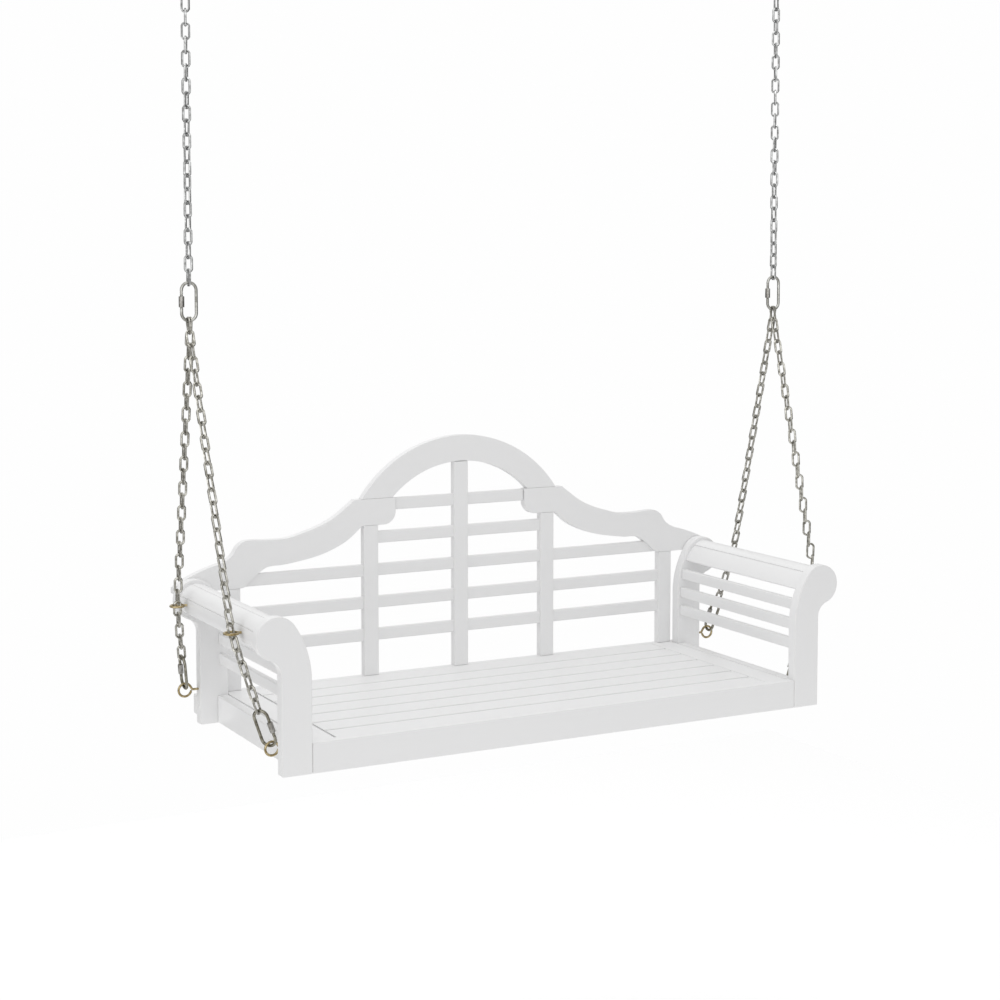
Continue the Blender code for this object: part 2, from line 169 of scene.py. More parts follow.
tent = bpy.data.worlds.new("light tent")
tent.use_nodes = True
tent.node_tree.nodes.clear()
make = NodeMaker(tent.node_tree)
way = make.node("ShaderNodeTexCoord").out("Generated")
way = make.node("ShaderNodeSeparateXYZ", Vector=way)
bearing = make.maths("ARCTAN2", way.out("Y"), way)
panel = make.maths("SINE", bearing * PANELS_ROUND + PANEL_TURN)
panel = make.maths("MULTIPLY_ADD", panel, PANEL_CONTRAST, 0.5, clamp=True)
height = make.maths("MULTIPLY_ADD", way.out("Z"), 0.9, 0.25, clamp=True)
facing = way * TO_THE_FRONT[0] + way.out("Y") * TO_THE_FRONT[1]
front = make.maths("MULTIPLY_ADD", facing, 2.0, -0.75, clamp=True)
behind = make.maths("MULTIPLY_ADD", facing, -1.6, 0.2, clamp=True)
above = make.maths("MULTIPLY_ADD", way.out("Z"), 6.0, 0.0, clamp=True)
seen_in_gloss = front * FRONT_GLOSS + behind * above * BEHIND_GLOSS + height * HIGH_GLOSS
seen_in_gloss = seen_in_gloss + panel * PANEL_GLOSS + LEAST_GLOSS
level = make.maths("MULTIPLY_ADD", way.out("Z"), 1.0, 0.97, clamp=True)
white = (1, 1, 1, 1)
light = make.node("ShaderNodeBackground", Color=white, Strength=level * TENT_LIGHT)
gloss = make.node("ShaderNodeBackground", Color=white, Strength=seen_in_gloss)
paper = make.node("ShaderNodeBackground", Color=white, Strength=TENT_WHITE)
ray = make.node("ShaderNodeLightPath")
lit = make.node("ShaderNodeMixShader", Fac=ray.out("Is Glossy Ray"), Shader=light, Shader_001=gloss)
seen = make.node("ShaderNodeMixShader", Fac=ray.out("Is Camera Ray"), Shader=lit, Shader_001=paper)
make.node("ShaderNodeOutputWorld", Surface=seen)
scene.world = tent


def soft_lamp(name, at, aim, size, power):
    lamp = bpy.data.objects.new(name, bpy.data.lights.new(name, "AREA"))
    lamp.data.shape = "DISK"
    lamp.data.size = size
    lamp.data.energy = power
    lamp.location = at
    lamp.rotation_euler = (aim - at).to_track_quat("-Z", "Y").to_euler()
    scene.collection.objects.link(lamp)


bench_middle = (cad_box[0] + cad_box[1]) / 2
bench_middle.z = cad_box[0].z + BENCH_MIDDLE
soft_lamp("overhead", bench_middle + Vector(OVERHEAD_AT), bench_middle, OVERHEAD_SIZE, OVERHEAD_POWER)
soft_lamp("left", bench_middle + Vector(LEFT_AT), bench_middle, LEFT_SIZE, LEFT_POWER)

floor_mesh = bpy.data.meshes.new("floor")
floor_z = cad_box[0].z - FLOOR_BELOW_FEET
floor_corners = [(x * FLOOR_HALF, y * FLOOR_HALF, floor_z) for x, y in ((-1, -1), (1, -1), (1, 1), (-1, 1))]
floor_mesh.from_pydata(floor_corners, [], [(0, 1, 2, 3)])
floor = bpy.data.objects.new("floor", floor_mesh)
scene.collection.objects.link(floor)
floor_paper = bpy.data.materials.new("floor_paper")
floor_paper.use_nodes = True
floor_shader = floor_paper.node_tree.nodes["Principled BSDF"]
floor_shader.inputs["Base Color"].default_value = (FLOOR_WHITE, FLOOR_WHITE, FLOOR_WHITE, 1)
floor_shader.inputs["Roughness"].default_value = 0.9
floor_shader.inputs["Specular IOR Level"].default_value = 0.0
floor_shader.inputs["Emission Color"].default_value = white
floor_shader.inputs["Emission Strength"].default_value = FLOOR_GLOW
floor_mesh.materials.append(floor_paper)

# ------------------------------------------------------------------------------------------------
# Scroll arm posts. Four upright boards sawn from hardwood, with a roll at the head that turns outwards.
# Their edges are rounded over and they are sprayed with white satin paint, as all the timber is.
POST_WIDTH = 0.0595
ROLL_R = 0.041
INNER_R = 0.185
HOLLOW_R = 0.030
EDGE_R = 0.0020
EDGE_STEPS = 3
GRAIN_STRETCH = 0.055
RING_FINENESS, PORE_FINENESS, SPRAY_FINENESS, CLOUD_FINENESS = 95, 620, 420.0, 5.0
COAT_LOW, COAT_FULL = (0.845, 0.845, 0.848, 1), (0.875, 0.875, 0.876, 1)
COAT_THIN = (0.76, 0.755, 0.74, 1)
ARC_STEP = 0.003
SHARP = math.radians(42)
SIDES = {"left": -1, "right": 1}


def white_paint(name, along):
    """Satin paint on sanded hardwood: its grain just shows, and the coat is thinner along the edges."""
    material = bpy.data.materials.new(name)
    material.use_nodes = True
    material.node_tree.nodes.clear()
    make = NodeMaker(material.node_tree)
    place = make.node("ShaderNodeTexCoord").out("Object")
    across = [GRAIN_STRETCH if axis == along else 1.0 for axis in "XYZ"]

    def streaks(fineness, detail, wave):
        drawn = make.node("ShaderNodeMapping", Vector=place, Scale=[fineness * share for share in across])
        return make.node("ShaderNodeTexNoise", Vector=drawn, Scale=1.0, Detail=detail, Distortion=wave)

    rings = streaks(RING_FINENESS, 2.0, 0.9)
    pores = streaks(PORE_FINENESS, 2.0, 0.2)
    spray = make.node("ShaderNodeTexNoise", Vector=place, Scale=SPRAY_FINENESS, Detail=1.0)
    cloud = make.node("ShaderNodeTexNoise", Vector=place, Scale=CLOUD_FINENESS, Detail=2.0)
    edge = make.node("ShaderNodeAttribute", {"attribute_name": "edge"}).out("Fac")
    shade = (rings - 0.5) * 0.30 + (cloud - 0.5) * 0.5 + 0.5
    coat = make.blend(shade, COAT_LOW, COAT_FULL)
    colour = make.blend(edge * (pores * 0.5 + 0.1), coat, COAT_THIN)
    relief = rings * 0.55 + pores * 0.20 + spray * 0.12
    normal = make.node("ShaderNodeBump", Height=relief, Strength=0.22, Distance=0.0006)
    surface = make.node("ShaderNodeBsdfPrincipled", Base_Color=colour, Normal=normal,
                        Roughness=cloud * 0.10 + pores * 0.06 + 0.25 - edge * 0.04)
    make.node("ShaderNodeOutputMaterial", Surface=surface)
    return material


paint_along = {axis: white_paint(f"white_paint_along_{axis.lower()}", axis) for axis in "XYZ"}


def fit(name, mesh, body, slot, *stands_for):
    """Add a finished piece to a body of the swing, in place of the plain parts that it stands for."""
    mesh.name = name
    mesh.shade_smooth()
    mesh.set_sharp_from_angle(angle=SHARP)
    piece = bpy.data.objects.new(name, mesh)
    scene.collection.objects.link(piece)
    if slot == "white_paint":
        even = piece.modifiers.new("flat faces stay flat", "WEIGHTED_NORMAL")
        even.keep_sharp = True
        even.weight = 100
    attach(piece, body)
    if stands_for:
        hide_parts(*stands_for)
    return piece


def round_over(shape, material, radius=EDGE_R):
    """Round every sharp edge of a board and mark the rounding, where the paint is thin; returns the mesh."""
    bmesh.ops.recalc_face_normals(shape, faces=shape.faces)
    thin = shape.verts.layers.float.new("edge")
    sharp = [edge for edge in shape.edges if edge.calc_face_angle(0) > SHARP]
    rounded = bmesh.ops.bevel(shape, geom=sharp, offset=radius, offset_type="OFFSET", affect="EDGES",
                              segments=EDGE_STEPS, profile=0.5, clamp_overlap=True)
    faces = set(rounded["faces"])
    for vert in rounded["verts"]:
        if all(face in faces for face in vert.link_faces):
            vert[thin] = 1.0
    mesh = bpy.data.meshes.new("board")
    shape.to_mesh(mesh)
    shape.free()
    mesh.materials.append(material)
    return mesh


def sawn_board(outline, near, far, material, radius=EDGE_R):
    """A board sawn to an outline of (x, z) points, from the depth near to the depth far."""
    shape = bmesh.new()
    face = shape.faces.new([shape.verts.new((x, near, z)) for x, z in outline])
    made = bmesh.ops.extrude_face_region(shape, geom=[face])["geom"]
    back = [item for item in made if isinstance(item, bmesh.types.BMVert)]
    bmesh.ops.translate(shape, verts=back, vec=(0, far - near, 0))
    return round_over(shape, material, radius)


def arc(centre, radius, start, stop):
    """Points of an arc from one angle to another, closely spaced, as (x, z)."""
    steps = max(3, round(radius * abs(stop - start) / ARC_STEP))
    angles = [start + (stop - start) * step / steps for step in range(steps + 1)]
    return [(centre.x + radius * math.cos(a), centre.y + radius * math.sin(a)) for a in angles]


low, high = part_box("front_post_right")
inside, foot = low.x, low.z
outside = inside + POST_WIDTH
roll = Vector((high.x - ROLL_R, high.z - ROLL_R))
inner = Vector((inside + INNER_R, 0))
inner.y = roll.y - math.sqrt((INNER_R - ROLL_R) ** 2 - (inner.x - roll.x) ** 2)
hollow = Vector((outside + HOLLOW_R, 0))
hollow.y = roll.y - math.sqrt((ROLL_R + HOLLOW_R) ** 2 - (hollow.x - roll.x) ** 2)
meet = math.atan2(roll.y - inner.y, roll.x - inner.x)
leave = math.atan2(hollow.y - roll.y, hollow.x - roll.x)

post_outline = [(inside, foot)] + arc(inner, INNER_R, math.pi, meet)[:-1]
post_outline += arc(roll, ROLL_R, meet, leave)[:-1]
post_outline += arc(hollow, HOLLOW_R, leave + math.pi, math.pi) + [(outside, foot)]

for side_name, side in SIDES.items():
    outline = [(side * x, z) for x, z in post_outline]
    for end in ("front", "rear"):
        node = f"{end}_post_{side_name}"
        low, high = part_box(node)
        post = sawn_board(outline, low.y, high.y, paint_along["Z"])
        fit(f"scroll_{end}_post_{side_name}", post, "bench", "white_paint", node)

# ------------------------------------------------------------------------------------------------
# Rails and seat ends. Planed boards with eased edges: the front rail between the front posts, the rear rail
# across the backs of the rear posts, a rail at the foot of each arm, and the board at each end of the seat.
END_CLEAR = 0.0020


def planed_board(low, high, material, radius=EDGE_R):
    shape = bmesh.new()
    size = Matrix.Diagonal((*(high - low), 1))
    bmesh.ops.create_cube(shape, size=1, matrix=Matrix.Translation((low + high) / 2) @ size)
    return round_over(shape, material, radius)


rails = {"front_rail": "X", "rear_rail": "X"}
for side_name in SIDES:
    rails[f"arm_rail_{side_name}"] = "Y"
    rails[f"seat_end_{side_name}"] = "Y"
for node, along in rails.items():
    low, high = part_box(node)
    clear = Vector((END_CLEAR if node.startswith("seat_end") else 0, 0, 0))
    board = planed_board(low + clear, high - clear, paint_along[along])
    fit(f"painted_{node}", board, "bench", "white_paint", node)

# ------------------------------------------------------------------------------------------------
# Seat slats and battens. Seven slats run the length of the seat, laid with a narrow gap and nailed down to
# four battens that run front to back under them.
SEAT_SLATS = 7
SEAT_GAP = 0.006
SEAT_THICK = 0.018
BATTEN_X = (-0.458, -0.155, 0.155, 0.458)
BATTEN_WIDTH = 0.044
BATTEN_SHORT = 0.002
SLAT_ROUND = 0.0022
SLAT_SHORT = 0.0020
NEARLY_FLAT = 0.001


def slats_tree():
    """A slat at each mark: a rounded section, bent to a curve, drawn out to the mark's own length."""
    tree = bpy.data.node_groups.new("slats at their marks", "GeometryNodeTree")
    face = tree.interface
    face.new_socket("Marks", in_out="INPUT", socket_type="NodeSocketGeometry")
    for name in ("Width", "Thickness", "Rounding", "Curvature"):
        face.new_socket(name, in_out="INPUT", socket_type="NodeSocketFloat")
    face.new_socket("Cuts", in_out="INPUT", socket_type="NodeSocketInt")
    face.new_socket("Lie", in_out="INPUT", socket_type="NodeSocketVector")
    face.new_socket("Paint", in_out="INPUT", socket_type="NodeSocketMaterial")
    face.new_socket("Slats", in_out="OUTPUT", socket_type="NodeSocketGeometry")
    make = NodeMaker(tree)
    given = make.node("NodeGroupInput")
    width, thick = given.out("Width"), given.out("Thickness")
    rounding, curvature = given.out("Rounding"), given.out("Curvature")

    section = make.node("GeometryNodeCurvePrimitiveQuadrilateral", {"mode": "RECTANGLE"},
                        Width=width, Height=thick)
    section = make.node("GeometryNodeFilletCurve", {"mode": "POLY"}, Curve=section, Count=3, Radius=rounding,
                        Limit_Radius=True)
    section = make.node("GeometryNodeSubdivideCurve", Curve=section, Cuts=given.out("Cuts"))
    spot = make.node("ShaderNodeSeparateXYZ", Vector=make.node("GeometryNodeInputPosition"))
    past_side = make.maths("ABSOLUTE", spot) - (width * 0.5 - rounding)
    past_face = make.maths("ABSOLUTE", spot.out("Y")) - (thick * 0.5 - rounding)
    thin = make.maths("DIVIDE", make.maths("MINIMUM", past_side, past_face), rounding * 0.7, clamp=True)
    section = make.node("GeometryNodeStoreNamedAttribute", {"data_type": "FLOAT", "domain": "POINT"},
                        Geometry=section, Name="edge", Value=thin)
    turn = spot * curvature
    half_sine = make.maths("SINE", turn * 0.5)
    sideways = make.maths("SINE", turn) / curvature + spot.out("Y") * make.maths("SINE", turn)
    outwards = spot.out("Y") * make.maths("COSINE", turn) - half_sine * half_sine * 2.0 / curvature
    bent = make.node("ShaderNodeCombineXYZ", X=sideways, Y=outwards)
    section = make.node("GeometryNodeSetPosition", Geometry=section, Position=bent)

    line = make.node("GeometryNodeCurvePrimitiveLine", Start=(0, 0, -0.5), End=(0, 0, 0.5))
    slat = make.node("GeometryNodeCurveToMesh", Curve=line, Profile_Curve=section, Fill_Caps=True)

    def marked(name):
        return make.node("GeometryNodeInputNamedAttribute", {"data_type": "FLOAT"}, Name=name)

    lie = make.node("FunctionNodeEulerToRotation", Euler=given.out("Lie"))
    spin = make.node("FunctionNodeAxisAngleToRotation", Axis=(0, 0, 1), Angle=marked("turn"))
    pose = make.node("FunctionNodeRotateRotation", {"rotation_space": "LOCAL"}, Rotation=lie, Rotate_By=spin)
    drawn = make.node("ShaderNodeCombineXYZ", X=1.0, Y=1.0, Z=marked("length"))
    row = make.node("GeometryNodeInstanceOnPoints", Points=given.out("Marks"), Instance=slat, Rotation=pose,
                    Scale=drawn)
    row = make.node("GeometryNodeRealizeInstances", Geometry=row)
    row = make.node("GeometryNodeSetMaterial", Geometry=row, Material=given.out("Paint"))
    make.tree.links.new(row.socket, make.tree.nodes.new("NodeGroupOutput").inputs[0])
    return tree


def made_by(tree, base, **sizes):
    """Run a geometry tree over some data with these named sizes, and return the result as a plain mesh."""
    holder = bpy.data.objects.new("holder", base)
    modifier = holder.modifiers.new("made by", "NODES")
    modifier.node_group = tree
    for item in tree.interface.items_tree:
        if item.in_out == "INPUT" and item.name.replace(" ", "_") in sizes:
            modifier[item.identifier] = sizes[item.name.replace(" ", "_")]
    scene.collection.objects.link(holder)
    ready = holder.evaluated_get(bpy.context.evaluated_depsgraph_get())
    mesh = bpy.data.meshes.new_from_object(ready)
    bpy.data.objects.remove(holder)
    return mesh


def marks(rows):
    """Points to set slats out by, each with the slat's centre, its length and its turn."""
    mesh = bpy.data.meshes.new("marks")
    mesh.from_pydata([place for place, _, _ in rows], [], [])
    for name, column in (("length", 1), ("turn", 2)):
        values = mesh.attributes.new(name, "FLOAT", "POINT")
        values.data.foreach_set("value", [row[column] for row in rows])
    return mesh


def lying(across, through):
    """How a slat lies: the world directions of its width and its thickness, as an Euler turn."""
    across, through = Vector(across), Vector(through)
    return tuple(Matrix((across, through, across.cross(through))).transposed().to_euler())


make_slats = slats_tree()
low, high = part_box("seat_panel")
middle = (low + high) / 2
slat_pitch = (high.y - low.y + SEAT_GAP) / SEAT_SLATS
slat_width = slat_pitch - SEAT_GAP
slat_z = high.z - SEAT_THICK / 2
rows = [
    ((middle.x, low.y + slat_width / 2 + number * slat_pitch, slat_z), high.x - low.x - SLAT_SHORT, 0.0)
    for number in range(SEAT_SLATS)
]
slats = made_by(make_slats, marks(rows), Width=slat_width, Thickness=SEAT_THICK, Rounding=SLAT_ROUND, Cuts=0,
                Curvature=NEARLY_FLAT, Lie=lying((0, 1, 0), (0, 0, 1)), Paint=paint_along["X"])
fit("seat_slats", slats, "bench", "white_paint", "seat_panel")

batten_height = high.z - low.z - SEAT_THICK
batten_z = low.z + batten_height / 2
rows = [((x, middle.y, batten_z), high.y - low.y - BATTEN_SHORT, 0.0) for x in BATTEN_X]
battens = made_by(make_slats, marks(rows), Width=BATTEN_WIDTH, Thickness=batten_height, Rounding=SLAT_ROUND,
                  Cuts=0, Curvature=NEARLY_FLAT, Lie=lying((1, 0, 0), (0, 0, -1)), Paint=paint_along["Y"])
fit("seat_battens", battens, "bench", "white_paint", "seat_panel")

# ------------------------------------------------------------------------------------------------
# Back. Five uprights stand on the rear rail, and five long slats are let through them, set back from their
# faces. The slats shorten towards the top, where the crest comes down on them.
UPRIGHTS = ("centre", "inner_left", "inner_right", "end_left", "end_right")
BACK_SLATS = 5
UPRIGHT_ROUND = 0.0018
BACK_SLAT_ROUND = 0.0024
BACK_SLAT_HIDDEN = 0.0015

upright_nodes = [f"back_post_{name}" for name in UPRIGHTS]
rows = []
for node in upright_nodes:
    low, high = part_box(node)
    rows.append(((low + high) / 2, high.z - low.z, 0.0))
uprights = made_by(make_slats, marks(rows), Width=high.x - low.x, Thickness=high.y - low.y, Cuts=0,
                   Rounding=UPRIGHT_ROUND, Curvature=NEARLY_FLAT, Lie=lying((1, 0, 0), (0, 1, 0)),
                   Paint=paint_along["Z"])
fit("back_uprights", uprights, "bench", "white_paint", *upright_nodes)

slat_nodes = [f"back_slat_{number + 1}" for number in range(BACK_SLATS)]
rows = []
for node in slat_nodes:
    low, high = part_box(node)
    rows.append(((low + high) / 2, high.x - low.x - 2 * BACK_SLAT_HIDDEN, 0.0))
back_slats = made_by(make_slats, marks(rows), Width=high.z - low.z, Thickness=high.y - low.y, Cuts=0,
                     Rounding=BACK_SLAT_ROUND, Curvature=NEARLY_FLAT, Lie=lying((0, 0, 1), (0, -1, 0)),
                     Paint=paint_along["X"])
fit("back_slats", back_slats, "bench", "white_paint", *slat_nodes)

# ------------------------------------------------------------------------------------------------
# Crest. A half-round arch stands on two scroll-cut rails that fall away to the rear arm posts. All three
# are sawn from one thickness of board, butted and glued, with their edges rounded over.
ARCH_OUTER = 0.280
ARCH_INNER = 0.2245
BLOCK_INNER = 0.155
BLOCK_OUTER = 0.250
BLOCK_DEEP = 0.056
NOSE_R = 0.027
CREST_TOP = (
    (0.252, 0.429), (0.294, 0.398), (0.330, 0.381), (0.362, 0.371), (0.398, 0.3615), (0.440, 0.3605),
    (0.480, 0.3628), (0.496, 0.3605), (0.509, 0.351), (0.521, 0.334), (0.542, 0.321), (0.573, 0.312),
    (0.612, 0.297), (0.645, 0.278),
)
CREST_LOW = (
    (0.645, 0.2655), (0.560, 0.2655), (0.503, 0.2655), (0.489, 0.272), (0.467, 0.291), (0.449, 0.303),
    (0.432, 0.3065), (0.409, 0.307), (0.355, 0.315), (0.318, 0.324), (0.285, 0.337), (0.262, 0.350),
    (0.245, 0.364), (0.232, 0.375),
)
CURVE_STEPS = 5
CREST_ROUND = 0.0007


def fair_curve(points):
    """A fair curve through every point (Catmull-Rom)."""
    ends = [Vector(point) for point in (points[0], *points, points[-1])]
    curve = []
    for before, start, stop, after in zip(ends, ends[1:], ends[2:], ends[3:]):
        for step in range(CURVE_STEPS):
            t = step / CURVE_STEPS
            bend = 2 * before - 5 * start + 4 * stop - after
            twist = 3 * start - before - 3 * stop + after
            curve.append((2 * start + (stop - before) * t + bend * t**2 + twist * t**3) / 2)
    return curve + [ends[-1]]


low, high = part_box("crest_rail_right")
block_top = high.z
nose = Vector((BLOCK_INNER + NOSE_R, block_top - BLOCK_DEEP + NOSE_R))
crest_outline = [(x, foot + z) for x, z in fair_curve(CREST_TOP) + fair_curve(CREST_LOW)]
crest_outline += arc(nose, NOSE_R, 1.5 * math.pi, math.pi)
crest_outline += [(BLOCK_INNER, block_top), (BLOCK_OUTER, block_top)]
for side_name, side in SIDES.items():
    node = f"crest_rail_{side_name}"
    outline = [(side * x, z) for x, z in crest_outline]
    rail = sawn_board(outline, low.y, high.y, paint_along["X"], CREST_ROUND)
    fit(f"scrolled_{node}", rail, "bench", "white_paint", node)

low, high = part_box("crest_arch")
arch = Vector((0, high.z - ARCH_OUTER))
outer_foot = math.asin((low.z - arch.y) / ARCH_OUTER)
inner_foot = math.asin((low.z - arch.y) / ARCH_INNER)
arch_outline = arc(arch, ARCH_OUTER, outer_foot, math.pi - outer_foot)
arch_outline += arc(arch, ARCH_INNER, math.pi - inner_foot, inner_foot)
arch_board = sawn_board(arch_outline, low.y, high.y, paint_along["X"], CREST_ROUND)
fit("half_round_arch", arch_board, "bench", "white_paint", "crest_arch")

# ------------------------------------------------------------------------------------------------
# Arm slats and rests. Three straight slats join the posts of each arm, set back from their inner faces.
# Four shaped slats follow the posts' curve over the roll and make the arm rest, 7 mm below the posts' edge.
ARM_SLATS = 3
ARM_ROUND = 0.0028
REST_RECESS = 0.007
REST_THICK = 0.012
REST_GAP = 0.0002
REST_ROUND = 0.0012
REST_START = 0.242
REST_END = math.radians(-38)
REST_OVERLAP = math.radians(11.8)
ROLL_SLATS = 3
REST_CUTS = 7

along_arm = lying((0, 0, 1), (1, 0, 0))
for side_name, side in SIDES.items():
    arm_nodes = [f"arm_slat_{number + 1}_{side_name}" for number in range(ARM_SLATS)]
    rows = []
    for node in arm_nodes:
        low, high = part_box(node)
        rows.append(((low + high) / 2, high.y - low.y, 0.0))
    arm_slats = made_by(make_slats, marks(rows), Width=high.z - low.z, Thickness=high.x - low.x, Cuts=0,
                        Rounding=ARM_ROUND, Curvature=NEARLY_FLAT, Lie=along_arm, Paint=paint_along["Y"])
    fit(f"arm_slats_{side_name}", arm_slats, "bench", "white_paint", *arm_nodes)

    node = f"arm_rest_{side_name}"
    length, depth = high.y - low.y, (high.y + low.y) / 2
    mid_r = ROLL_R - REST_RECESS - REST_THICK / 2
    outer_r = ROLL_R - REST_RECESS
    first = meet - REST_OVERLAP
    each = (first - REST_END) / ROLL_SLATS
    rows = []
    for number in range(ROLL_SLATS):
        angle = first - each * (number + 0.5)
        at = (side * (roll.x + mid_r * math.cos(angle)), depth, roll.y + mid_r * math.sin(angle))
        rows.append((at, length, -angle if side > 0 else angle - math.pi))
    rest = made_by(make_slats, marks(rows), Width=each * mid_r - REST_GAP * mid_r / outer_r, Cuts=REST_CUTS,
                   Thickness=REST_THICK, Rounding=REST_ROUND, Curvature=1 / mid_r, Lie=along_arm,
                   Paint=paint_along["Y"])
    fit(f"arm_rest_roll_{side_name}", rest, "bench", "white_paint", node)

    inner_mid = INNER_R - REST_RECESS - REST_THICK / 2
    start = math.pi - math.asin((foot + REST_START - inner.y) / inner_mid)
    bottom = Vector((inner.x + inner_mid * math.cos(start), inner.y + inner_mid * math.sin(start)))
    top = Vector((roll.x + mid_r * math.cos(first), roll.y + mid_r * math.sin(first)))
    turned = start - first
    reach = (top - bottom).length / (2 * math.sin(turned / 2)) * turned
    chord = (start + first) / 2
    bow = reach / turned * (1 - math.cos(turned / 2))
    centre = (bottom + top) / 2 + bow * Vector((math.cos(chord), math.sin(chord)))
    rows = [((side * centre.x, depth, centre.y), length, -chord if side > 0 else chord - math.pi)]
    lip = made_by(make_slats, marks(rows), Width=reach - REST_GAP, Thickness=REST_THICK, Rounding=REST_ROUND,
                  Cuts=REST_CUTS, Curvature=turned / reach, Lie=along_arm, Paint=paint_along["Y"])
    fit(f"arm_rest_lip_{side_name}", lip, "bench", "white_paint", node)

# ------------------------------------------------------------------------------------------------
# Plugs. A turned plug covers the screw that holds the rear rail to the foot of each rear arm post.
PLUG_R = 0.005
PLUG_Z = 0.035
PLUG_PROUD = 0.0014
PLUG_DEEP = 0.004
PLUG_ROUND = 0.00056
PLUG_SIDES = 24

for side_name, side in SIDES.items():
    low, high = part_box(f"rear_post_{side_name}")
    spot = Vector((side * outside, (low.y + high.y) / 2, foot + PLUG_Z))
    shape = bmesh.new()
    turn = Matrix.Rotation(math.pi / 2, 4, "Y")
    shift = Matrix.Translation(spot + Vector((side * (PLUG_PROUD - PLUG_DEEP / 2), 0, 0)))
    bmesh.ops.create_cone(shape, cap_ends=True, segments=PLUG_SIDES, radius1=PLUG_R, radius2=PLUG_R,
                          depth=PLUG_DEEP, matrix=shift @ turn)
    plug = round_over(shape, paint_along["Z"], PLUG_ROUND)
    fit(f"screw_plug_{side_name}", plug, "bench", "white_paint")

# ------------------------------------------------------------------------------------------------
# Screw eyes. Brass-plated wire with a threaded shank, bent round to a ring: at the foot of each arm post
# they take the load, and on the roll of each arm they guide the chain.
EYE_R = 0.0131
EYE_WIRE_R = 0.0024
WIRE_SIDES = 16
NECK_ANGLE = 148
RING_STEP = 10
RING_POINTS = 33
NECK_POINTS = 8
TIP_TAPER = 0.8
SHANK_BACK, SHANK_LOW, SHANK_PULL, RING_PULL = (share * EYE_WIRE_R for share in (2.1, 0.1, 1.6, 1.8))
EYES = [f"{kind}_eye_{end}" for kind in ("load", "guide") for end in ("front", "rear")]


def metal(name, colour, dark, roughness, relief, grain):
    """Plated wire: a mottled bright face, darker where it is tarnished, with the fine relief of the dip."""
    material = bpy.data.materials.new(name)
    material.use_nodes = True
    material.node_tree.nodes.clear()
    make = NodeMaker(material.node_tree)
    place = make.node("ShaderNodeTexCoord").out("Object")
    mottle = make.node("ShaderNodeTexNoise", Vector=place, Scale=grain, Detail=3.0, Roughness=0.6)
    spangle = make.node("ShaderNodeTexVoronoi", Vector=place, Scale=grain * 2.2)
    dip = make.node("ShaderNodeTexNoise", Vector=place, Scale=grain * 5, Detail=2.0)
    tarnish = make.maths("MULTIPLY_ADD", mottle, 2.6, -0.95, clamp=True)
    colour = make.blend(tarnish, (*dark, 1), (*colour, 1))
    rough = (1 - tarnish) * 0.16 + spangle * 0.10 + (roughness - 0.05)
    normal = make.node("ShaderNodeBump", Height=dip + mottle, Strength=relief, Distance=0.0004)
    surface = make.node("ShaderNodeBsdfPrincipled", Base_Color=colour, Metallic=1.0, Roughness=rough,
                        Normal=normal)
    make.node("ShaderNodeOutputMaterial", Surface=surface)
    return material


def drawn_wire(path, radii, material, closed=False, sides=WIRE_SIDES):
    """Wire drawn along a path, with a radius at each point; open ends are closed flat. Returns the mesh."""
    shape = bmesh.new()
    count = len(path)
    normal = None
    rings = []
    for index, (point, radius) in enumerate(zip(path, radii)):
        after = path[(index + 1) % count] if closed or index < count - 1 else point
        before = path[index - 1] if closed or index else point
        along = (after - before).normalized()
        normal = along.orthogonal() if normal is None else normal
        normal = (normal - along * normal.dot(along)).normalized()
        side = along.cross(normal)
        angles = [2 * math.pi * step / sides for step in range(sides)]
        ring = [point + radius * (math.cos(a) * normal + math.sin(a) * side) for a in angles]
        rings.append([shape.verts.new(spot) for spot in ring])
    pairs = list(zip(rings, rings[1:])) + ([(rings[-1], rings[0])] if closed else [])
    for first, second in pairs:
        for step in range(sides):
            onward = (step + 1) % sides
            shape.faces.new((first[step], first[onward], second[onward], second[step]))
    if not closed:
        shape.faces.new(rings[0][::-1])
        shape.faces.new(rings[-1])
    bmesh.ops.recalc_face_normals(shape, faces=shape.faces)
    mesh = bpy.data.meshes.new("wire")
    shape.to_mesh(mesh)
    shape.free()
    mesh.materials.append(material)
    return mesh


def eye_path(shank):
    """A screw eye in its own plane as (outward, across): up the shank, round the neck and the ring."""
    turn = [math.radians(NECK_ANGLE - step * RING_STEP) for step in range(RING_POINTS)]
    ring = [Vector((EYE_R * math.cos(a), EYE_R * math.sin(a))) for a in turn]
    start = Vector((-EYE_R - SHANK_BACK, -SHANK_LOW))
    towards = start + Vector((SHANK_PULL, 0))
    ahead = ring[0] - Vector((math.sin(turn[0]), -math.cos(turn[0]))) * RING_PULL
    neck = []
    for step in range(NECK_POINTS):
        t = step / NECK_POINTS
        neck.append((1 - t) ** 3 * start + 3 * (1 - t) ** 2 * t * towards
                    + 3 * (1 - t) * t**2 * ahead + t**3 * ring[0])
    return [Vector((shank, neck[0].y))] + neck + ring


def eye_centre(node, side):
    low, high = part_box(node)
    tip = high.x if side > 0 else low.x
    return Vector((tip - side * (EYE_R + EYE_WIRE_R), (low.y + high.y) / 2, (low.z + high.z) / 2))


